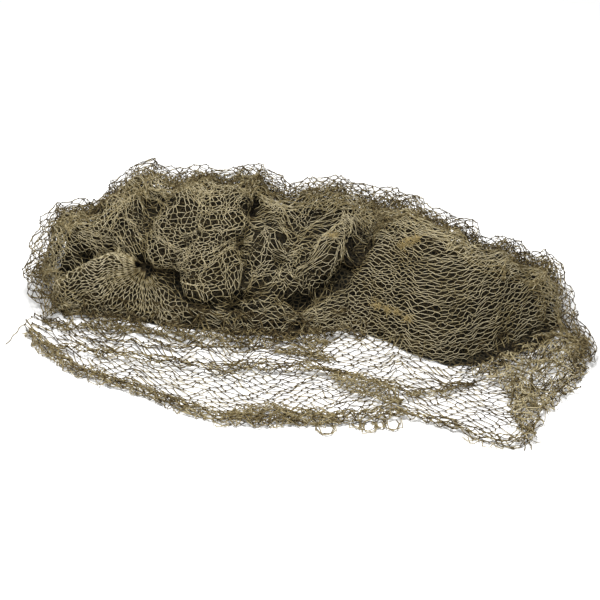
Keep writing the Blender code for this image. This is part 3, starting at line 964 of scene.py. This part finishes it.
def rim_net(seed, line, inset, width, depth, mesh_width, tone):
    """Loops of net along a line seen from the front, set in from it by a distance."""
    spots = smoothed(even_line(line, mesh_width / 2), 2)
    way = np.gradient(spots, axis=0)
    way /= np.linalg.norm(way, axis=1, keepdims=True)
    inward = smoothed(np.stack([way[:, 1], -way[:, 0]], -1), 8)
    spots = spots + inward * inset
    base = seen_place(spots[:, 0], spots[:, 1])
    farthest = np.minimum(2 * spots[:, 1] - 0.03, spots[:, 1] + 0.02)
    base[:, 1] = smoothed(np.minimum(base[:, 1], farthest), 12)
    base[:, 2] = (spots[:, 1] - DEPTH_SEEN * base[:, 1]) / RISE_SEEN
    turn = np.linspace(-RIM_TURN, RIM_TURN, RIM_ROWS)
    row, column = np.meshgrid(np.arange(RIM_ROWS), np.arange(len(spots) // 2), indexing="ij")
    index = np.clip(2 * column + row % 2, 0, len(spots) - 1)
    plan = np.stack([index * mesh_width / 2, turn[row] * width * 0.3], -1)
    size = np.clip(1.0 + drift(plan[..., :1], seed, RIM_WAVE, RIM_UNEVEN)[..., 0], *RIM_SIZES)
    in_view = inward[index] * (width * size * (1 - np.cos(turn[row])))[..., None]
    ahead = depth * size * np.sin(turn[row])
    spots = base[index] + ahead[..., None] * TO_VIEWER + in_view[..., 1:] * UP_IN_VIEW
    spots[..., 0] += in_view[..., 0]
    spots = spots + drift(plan, seed + 1, *RIM_SLACK)[..., :1] * RIM_SLACK_WAYS
    spots = spots + np.random.default_rng(seed).normal(0.0, RIM_SHAKE, spots.shape)
    return spots, np.ones(index.shape, bool), tone


# Each with its seed, line, inset, width, depth, mesh width and tone.
wire_piece("rim_loops", [rim_net(51, RIM, 0.0, 0.026, 0.016, 0.0185, -0.06)], seed=7, thickness=LOOP_TWINE)
wire_piece(
    "rim_folds",
    [
        rim_net(52, RIM, 0.010, 0.018, 0.020, 0.0170, 0.10),
        rim_net(53, RIM, 0.022, 0.016, 0.024, 0.0165, -0.08),
        rim_net(54, RIM, 0.034, 0.016, 0.026, 0.0165, 0.20),
        rim_net(55, RIM[:-4], 0.048, 0.016, 0.026, 0.0165, 0.30),
        rim_net(56, RIM[34:-3], 0.062, 0.016, 0.026, 0.0165, 0.12),
    ],
    seed=13,
    steps=2,
    thickness=RIM_FOLD_TWINE,
)

# ---------------------------------------------------------------------------------------------
# Apron: the net's front edge, drawn out over the ground in one slack see-through layer. In its
# long wrinkles the net doubles back and lies three deep, and along the edge loops of the selvedge
# twine hang out.
# ---------------------------------------------------------------------------------------------
APRON_TWINE = 0.0020
APRON_SIZE = (1.3, 0.56)
APRON_UNDER = 0.035
APRON_MOST_RISE = 0.030
APRON_SINK = 0.0015
APRON_SHAKE = 0.0012
APRON_SIDE = 0.004
APRON_WIDE_SLACK = (0.16, 0.008)
APRON_MESH_SLACK = (0.045, 0.0032)
APRON_RIPPLE = (0.06, 0.004)
# The wrinkles, each as a line on the ground and the width of the net that doubles back in it.
PLEATS = (
    (((-0.560, -0.030), (-0.472, -0.056), (-0.319, -0.095), (-0.194, -0.130), (-0.100, -0.175)), 0.017),
    (((-0.200, -0.105), (-0.100, -0.131), (-0.012, -0.131), (0.075, -0.165), (0.200, -0.225)), 0.020),
    (((-0.480, 0.000), (-0.300, -0.040), (-0.161, -0.058), (-0.020, -0.055), (0.060, -0.100)), 0.016),
    (((0.150, -0.215), (0.260, -0.195), (0.340, -0.165)), 0.016),
)
HEM_FOLD = 0.019
HEM_INSET = 0.003
LAYER_RISE = 0.0035
PLEAT_END = 0.05
AFTER_PLEAT = (0.012, 0.010)
APRON_PAST = 0.6


def ground_height(x, y):
    """Height of the netting's top face at places on the ground."""
    i = np.clip((x - column_x[0]) / (column_x[1] - column_x[0]), 0, COLUMNS - 1.001)
    j = np.clip((y - row_y[0]) / ROW_STEP, 0, len(row_y) - 1.001)
    a, b = i.astype(int), j.astype(int)
    u, v = i - a, j - b
    near = top[a, b] * (1 - v) + top[a, b + 1] * v
    far = top[a + 1, b] * (1 - v) + top[a + 1, b + 1] * v
    return near * (1 - u) + far * u


def apron_section(x):
    """The apron at x, from the hem back: distance along the net, distance over the ground, and
    height above the ground layer."""
    folds = [(0.0, HEM_FOLD * (0.8 + 0.4 * math.sin(9.0 * x) * math.sin(31.0 * x)))]
    for line, wide in PLEATS:
        line_x, line_y = zip(*line)
        if line_x[0] < x < line_x[-1]:
            fade = min(min(x - line_x[0], line_x[-1] - x) / PLEAT_END, 1.0)
            middle = np.interp(x, line_x, line_y) - np.interp(x, column_x, hem_y)
            swell = 1.0 + 0.35 * math.sin(47.0 * x + 60.0 * wide) + 0.2 * math.sin(97.0 * x)
            folds.append((middle - wide / 2, wide * fade * swell))
    folds = sorted(fold for fold in folds if fold[0] == 0.0 or fold[0] > HEM_FOLD * 1.4)
    along, over, rise = [0.0], [0.0], [0.0]
    for start, wide in folds:
        start = max(start, over[-1])
        for where, lift in ((start, 0.0), (start + wide, 1.0), (start, 2.0), (start + wide, 2.6)):
            along.append(along[-1] + abs(where - over[-1]) + 1e-5)
            over.append(where)
            rise.append(lift * LAYER_RISE)
        along.append(along[-1] + AFTER_PLEAT[0])
        over.append(over[-1] + AFTER_PLEAT[1])
        rise.append(0.0)
    along.append(along[-1] + APRON_PAST)
    over.append(over[-1] + APRON_PAST)
    rise.append(0.0)
    return along, over, rise


def apron_net(seed, slant, mesh_width, mesh_length, tone):
    """The apron as a net whose rows follow the front edge and double back in its wrinkles."""
    across, along = diamond_grid(*APRON_SIZE, mesh_width, mesh_length)
    along = along + APRON_SIZE[1] / 2
    plan = np.stack([across + slant * along, along], -1)
    plan = plan + drift(plan, seed, *APRON_WIDE_SLACK) + drift(plan, seed + 1, *APRON_MESH_SLACK)
    x, along = plan[..., 0], np.maximum(plan[..., 1], 0.001)
    over, rise = np.zeros(x.shape), np.zeros(x.shape)
    for spot in np.ndindex(x.shape):
        section = apron_section(x[spot])
        over[spot] = np.interp(along[spot], section[0], section[1])
        rise[spot] = np.interp(along[spot], section[0], section[2])
    y = np.interp(x, column_x, hem_y) + HEM_INSET + over
    kept = y < np.interp(x, column_x, foot_y) + APRON_UNDER
    kept &= np.abs(x) < HALF - APRON_SIDE
    ripple = np.maximum(drift(plan, seed + 2, *APRON_RIPPLE)[..., 0], -0.001)
    z = np.minimum(ground_height(x, y), APRON_MOST_RISE) - APRON_SINK + rise + ripple
    rng = np.random.default_rng(seed + 3)
    spots = np.stack([x, y, z], -1) + rng.normal(0.0, APRON_SHAKE, x.shape + (3,))
    return spots, kept, tone


# The selvedge loops: where each hangs along the edge, how wide it is and how far it comes out.
HEM_LOOPS = (
    (0.034, 0.028, 0.036), (0.094, 0.020, 0.020), (0.112, 0.026, 0.034), (0.134, 0.018, 0.026),
    (0.156, 0.026, 0.040), (0.300, 0.016, 0.014), (0.324, 0.018, 0.016), (0.352, 0.016, 0.012),
    (-0.060, 0.022, 0.010), (-0.150, 0.020, 0.010),
)
LOOP_ACROSS = np.array([-0.5, -0.52, -0.30, 0.08, 0.42, 0.56, 0.5])
LOOP_OUT = np.array([0.0, -0.45, -0.92, -1.0, -0.86, -0.40, 0.0])
LOOP_SHAKE = np.array([0.0022, 0.0030, 0.0003])
CORNER_THREADS = (
    ((0.392, -0.372, 0.004), (0.394, -0.386, 0.003), (0.391, -0.400, 0.003)),
    ((0.398, -0.370, 0.004), (0.405, -0.384, 0.003), (0.404, -0.396, 0.003)),
    ((0.404, -0.366, 0.004), (0.415, -0.374, 0.003), (0.424, -0.372, 0.003)),
)


def hem_loop(middle, width, drop, lean):
    """One slack loop of the selvedge twine, hanging out over the ground from the front edge."""
    rng = np.random.default_rng(int(middle * 1000) + 500)
    x = middle + width * LOOP_ACROSS + lean
    y = drop * LOOP_OUT + np.interp(middle, column_x, hem_y) + 0.006
    spots = np.stack([x, y, 0.003 + 0.002 * rng.uniform(size=len(x))], -1)
    return spots + rng.normal(0.0, 1.0, spots.shape) * LOOP_SHAKE


# The larger loops are two or three strands side by side.
selvedge = [(hem_loop(*loop, 0.004 * (-1) ** number), 0.16) for number, loop in enumerate(HEM_LOOPS)]
selvedge += [(hem_loop(x + 0.002, w, d + 0.003, -0.002), 0.06) for x, w, d in HEM_LOOPS[:6]]
selvedge += [(hem_loop(x - 0.002, w, d - 0.002, 0.001), -0.10) for x, w, d in HEM_LOOPS[:5]]
selvedge += [(thread, -0.05) for thread in CORNER_THREADS]
wire_piece(
    "apron",
    [apron_net(61, -0.15, 0.0255, 0.0185, -0.04)],
    seed=8,
    longest=2.2,
    thickness=APRON_TWINE,
    strands=selvedge,
)

# ---------------------------------------------------------------------------------------------
# Bunches: where the net is drawn together sideways into crumpled bands on the ground, along the
# hem, along the heap's foot and in the wrinkles of the apron.
# ---------------------------------------------------------------------------------------------
BUNCH_TWINE = 0.0018
BUNCH_STEP = 0.004
BUNCH_MESH = (0.0125, 0.0260)
BUNCH_END_STEPS = 10
BUNCH_MOST_RISE = 0.030
BUNCH_SLACK = (0.04, 0.004)
BUNCH_SWING = (0.08, 1.2)
BUNCH_CRUMPLE = (0.03, 0.004)
BUNCH_RISE = (0.03, 0.5)
BUNCH_HOLES = (0.045, 1.0)
BUNCH_SHAKE = 0.0014
SIDE_MARGIN = 0.002


def bunch_net(seed, line, width, height, layers, tone):
    """A strip of net drawn together sideways along a line on the ground, into a crumpled band."""
    path = smoothed(even_line(line, BUNCH_STEP), 6)
    length = BUNCH_STEP * (len(path) - 1)
    across, along = diamond_grid(layers * width, length, *BUNCH_MESH)
    plan = np.stack([across, along], -1)
    plan = plan + drift(plan, seed, *BUNCH_SLACK)
    number = np.clip((plan[..., 1] + length / 2) / BUNCH_STEP, 0, len(path) - 1.001)
    whole = number.astype(int)
    part = (number - whole)[..., None]
    middle = path[whole] * (1 - part) + path[whole + 1] * part
    way = np.gradient(path, axis=0)
    way /= np.linalg.norm(way, axis=1, keepdims=True)
    side = np.stack([-way[whole][..., 1], way[whole][..., 0]], -1)
    ends = np.clip(np.minimum(number, len(path) - 1 - number) / BUNCH_END_STEPS, 0.4, 1.0)
    swing = np.sin(math.pi * plan[..., 0] / width + drift(plan, seed + 1, *BUNCH_SWING)[..., 0])
    swing = np.arcsin(swing) * 2 / math.pi
    place = middle + side * (0.5 * width * ends * swing)[..., None]
    place = place + drift(plan, seed + 2, *BUNCH_CRUMPLE)
    high = height * ends * np.clip(0.5 + drift(plan, seed + 3, *BUNCH_RISE)[..., 0], 0.0, 1.2)
    z = np.minimum(ground_height(place[..., 0], place[..., 1]), BUNCH_MOST_RISE) + high
    kept = np.abs(place[..., 0]) < HALF - SIDE_MARGIN
    kept &= drift(plan, seed + 6, *BUNCH_HOLES)[..., 0] > -0.75
    rng = np.random.default_rng(seed + 4)
    spots = np.concatenate([place, z[..., None]], -1)
    return spots + rng.normal(0.0, BUNCH_SHAKE, spots.shape), kept, tone


def line_along(edge_y, first, last, behind, count):
    """A line that keeps its distance from the front edge, or from the heap's foot."""
    return [(x, float(np.interp(x, column_x, edge_y)) + behind) for x in np.linspace(first, last, count)]


hem_line = line_along(hem_y, -0.53, 0.40, 0.016, 36)
foot_line = line_along(foot_y, -0.47, 0.12, -0.012, 25)
FOOT_BAND = (
    (-0.505, 0.056), (-0.465, 0.034), (-0.396, 0.030), (-0.300, 0.011), (-0.194, -0.016),
    (-0.108, -0.027), (-0.012, -0.020), (0.046, -0.027),
)
HEM_PILE = ((-0.145, -0.285), (-0.080, -0.272), (0.000, -0.290), (0.060, -0.300))
THICK_WRINKLE = ((0.050, -0.150), (0.110, -0.215), (0.180, -0.262))
FOOT_WRINKLE = ((-0.060, -0.060), (0.020, -0.070), (0.060, -0.100))
LEFT_WRINKLE = ((-0.500, -0.040), (-0.400, -0.074), (-0.330, -0.092), (-0.194, -0.130))
MIDDLE_WRINKLE = ((-0.185, -0.115), (-0.044, -0.128), (0.020, -0.135), (0.060, -0.155))
RIGHT_WRINKLE = ((0.180, -0.225), (0.250, -0.205), (0.315, -0.170))
# Each with its seed, line, width, height, layers and tone.
wire_piece(
    "bunches",
    [
        bunch_net(71, FOOT_BAND, 0.036, 0.016, 2.6, 0.06),
        # Along the heap's foot the band is painted darker: painted shade where the heap meets the ground.
        bunch_net(70, foot_line, 0.045, 0.026, 3.0, -0.12),
        bunch_net(72, hem_line[:28], 0.034, 0.009, 2.6, 0.12),
        bunch_net(83, hem_line[27:], 0.018, 0.008, 1.8, 0.12),
        bunch_net(73, THICK_WRINKLE, 0.056, 0.018, 4.8, 0.16),
        bunch_net(78, HEM_PILE, 0.044, 0.014, 3.8, 0.16),
        bunch_net(79, FOOT_WRINKLE, 0.044, 0.014, 2.6, 0.12),
        bunch_net(80, LEFT_WRINKLE, 0.028, 0.010, 2.2, 0.10),
        bunch_net(81, MIDDLE_WRINKLE, 0.028, 0.012, 2.2, 0.10),
        bunch_net(82, RIGHT_WRINKLE, 0.028, 0.010, 2.4, 0.12),
    ],
    seed=9,
    thickness=BUNCH_TWINE,
    lumps=False,
)

# ---------------------------------------------------------------------------------------------
# Right-hand corner: the net's low folds round the right-hand end, with a crevice under the large
# fold whose net is painted near black as its shadow, and a thicker pile where the corner is
# pulled to a point.
CORNER_TWINE = 0.0018
GROUND_SPAN = 1.6
GROUND_MOST_RISE = 0.034
GROUND_WIDE_SLACK = (0.12, 0.012)
GROUND_MESH_SLACK = (0.04, 0.005)
GROUND_CRUMPLE_WAVE = 0.035
GROUND_EDGE = (0.05, 0.006)
GROUND_SHAKE = 0.0012
FOOT_CLEAR = 0.006
RIGHT_END_FROM = 0.47
RIGHT_FOLDS = (
    (0.300, -0.066), (0.326, -0.048), (0.380, -0.022), (0.460, 0.018), (0.516, 0.030), (0.545, -0.010),
    (0.535, -0.052), (0.500, -0.095), (0.470, -0.112), (0.437, -0.140), (0.412, -0.172),
    (0.395, -0.175), (0.380, -0.150), (0.366, -0.118), (0.352, -0.085),
)
# Where the crevice under the large fold shows: the net there is painted near black, as painted shadow.
CREVICE_SHADOW = (
    (0.285, -0.070), (0.320, -0.058), (0.370, -0.050), (0.420, -0.026), (0.462, 0.004), (0.480, 0.040),
    (0.420, 0.026), (0.360, 0.000), (0.300, -0.026),
)
CORNER_FOLDS = (
    (0.372, -0.075), (0.420, -0.065), (0.430, -0.100), (0.425, -0.135), (0.412, -0.178),
    (0.396, -0.190), (0.378, -0.160), (0.366, -0.118),
)


def ground_net(seed, turn_deg, mesh_width, mesh_length, rise, rough, tone, outline):
    """A net lying over the ground and the low folds inside an outline seen from the front."""
    plan = turned_net(GROUND_SPAN, turn_deg, mesh_width, mesh_length)
    plan = plan + drift(plan, seed, *GROUND_WIDE_SLACK) + drift(plan, seed + 1, *GROUND_MESH_SLACK)
    x, y = plan[..., 0], plan[..., 1]
    crumple = np.maximum(drift(plan, seed + 2, GROUND_CRUMPLE_WAVE, rough)[..., 0], -rough)
    z = np.minimum(ground_height(x, y), GROUND_MOST_RISE) + rise + crumple
    spots = np.stack([x, y, z], -1)
    inside = inside_by(outline, x, seen_height(spots))
    kept = inside + drift(plan, seed + 5, *GROUND_EDGE)[..., 0] > 0.0
    in_front = y < np.interp(x, column_x, foot_y) - FOOT_CLEAR
    kept &= (np.abs(x) < HALF - SIDE_MARGIN) & (in_front | (x > RIGHT_END_FROM))
    rng = np.random.default_rng(seed + 4)
    return spots + rng.normal(0.0, GROUND_SHAKE, spots.shape), kept, tone


# Each with its seed, turn, mesh width and length, height over the ground, roughness and tone.
wire_piece(
    "right_folds",
    [
        ground_net(91, 25.0, 0.0190, 0.0200, 0.004, 0.006, 0.26, RIGHT_FOLDS),
        ground_net(92, -30.0, 0.0190, 0.0170, 0.010, 0.007, -0.10, RIGHT_FOLDS),
        # Painted shadow in the crevice.
        ground_net(95, 10.0, 0.0120, 0.0120, 0.004, 0.004, -0.45, CREVICE_SHADOW),
        ground_net(96, 50.0, 0.0160, 0.0180, 0.007, 0.008, 0.32, RIGHT_FOLDS),
        ground_net(97, 20.0, 0.0150, 0.0170, 0.008, 0.008, 0.00, CORNER_FOLDS),
        ground_net(93, 70.0, 0.0170, 0.0200, 0.014, 0.008, 0.30, CORNER_FOLDS),
    ],
    seed=11,
    thickness=CORNER_TWINE,
    lumps=False,
)

# ---------------------------------------------------------------------------------------------
# Loose end: the tail of the twine that the net was knotted with, cut off past its last knot at
# the left-hand corner. It lies on the ground.
# ---------------------------------------------------------------------------------------------
LOOSE_END = (
    (-0.528, 0.068, 0.006), (-0.538, 0.060, 0.005), (-0.5400, 0.047, 0.0030), (-0.5510, 0.038, 0.0030),
    (-0.5530, 0.018, 0.0025), (-0.5620, 0.004, 0.0030), (-0.5630, -0.012, 0.0020),
    (-0.5720, -0.026, 0.0020),
)
LOOSE_END_THICKNESS = 0.0016
bpy.ops.curve.primitive_bezier_curve_add()
loose_end = bpy.context.object
loose_end.name = "loose_end"
loose_end.data.splines.clear()
run = loose_end.data.splines.new("NURBS")
run.points.add(len(LOOSE_END) - 1)
for point, place in zip(run.points, LOOSE_END):
    point.co = (*place, 1.0)
run.order_u = 3
run.use_endpoint_u = True
loose_end.data.bevel_depth = LOOSE_END_THICKNESS / 2
loose_end.data.bevel_resolution = 2
loose_end.data.use_fill_caps = True
loose_end.data.materials.append(khaki)
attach(loose_end, "root")

# ---------------------------------------------------------------------------------------------
# Fluff: small ochre tufts of frayed jute, fine loose fibres caught in the meshes on top of the
# folds.
# ---------------------------------------------------------------------------------------------
# Where each tuft shows from the front, sideways and up in that view, and how far it spreads.
TUFTS = (
    (0.052, 0.197, 0.008), (0.181, 0.176, 0.007), (0.196, 0.184, 0.010), (0.206, 0.188, 0.006),
    (0.131, 0.063, 0.009), (0.150, 0.055, 0.006), (0.169, 0.050, 0.009), (0.190, 0.038, 0.008),
)
TUFT_STRANDS = 44
TUFT_BEND = 0.0035
TUFT_OUT = 0.007
FLUFF_THICKNESS = 0.0009
FLUFF_TONE = 0.30
OCHRES = (
    (0.04, 0.028, 0.008), (0.09, 0.066, 0.022), (0.22, 0.165, 0.066), (0.36, 0.275, 0.120),
    (0.46, 0.36, 0.17),
)
ochre = khaki.copy()
ochre.name = "ochre fluff"
ochre_ramp = next(node for node in ochre.node_tree.nodes if node.type == "VALTORGB").color_ramp
for element, colour in zip(ochre_ramp.elements, OCHRES):
    element.color = (*colour, 1.0)
fluff_rng = np.random.default_rng(97)
fluff = []
for x, seen_up, reach in TUFTS:
    middle = seen_place(np.array([x]), np.array([seen_up]))[0] + TUFT_OUT * TO_VIEWER
    for _ in range(TUFT_STRANDS):
        start = middle + fluff_rng.normal(0.0, reach * 0.5, 3) * np.array([1.0, 0.6, 0.6])
        bend = fluff_rng.normal(0.0, TUFT_BEND, (2, 3)).cumsum(axis=0)
        fluff.append((np.vstack([start, start + bend]), FLUFF_TONE))
wire_piece("fluff_tufts", [], seed=14, thickness=FLUFF_THICKNESS, paint=ochre, strands=fluff)
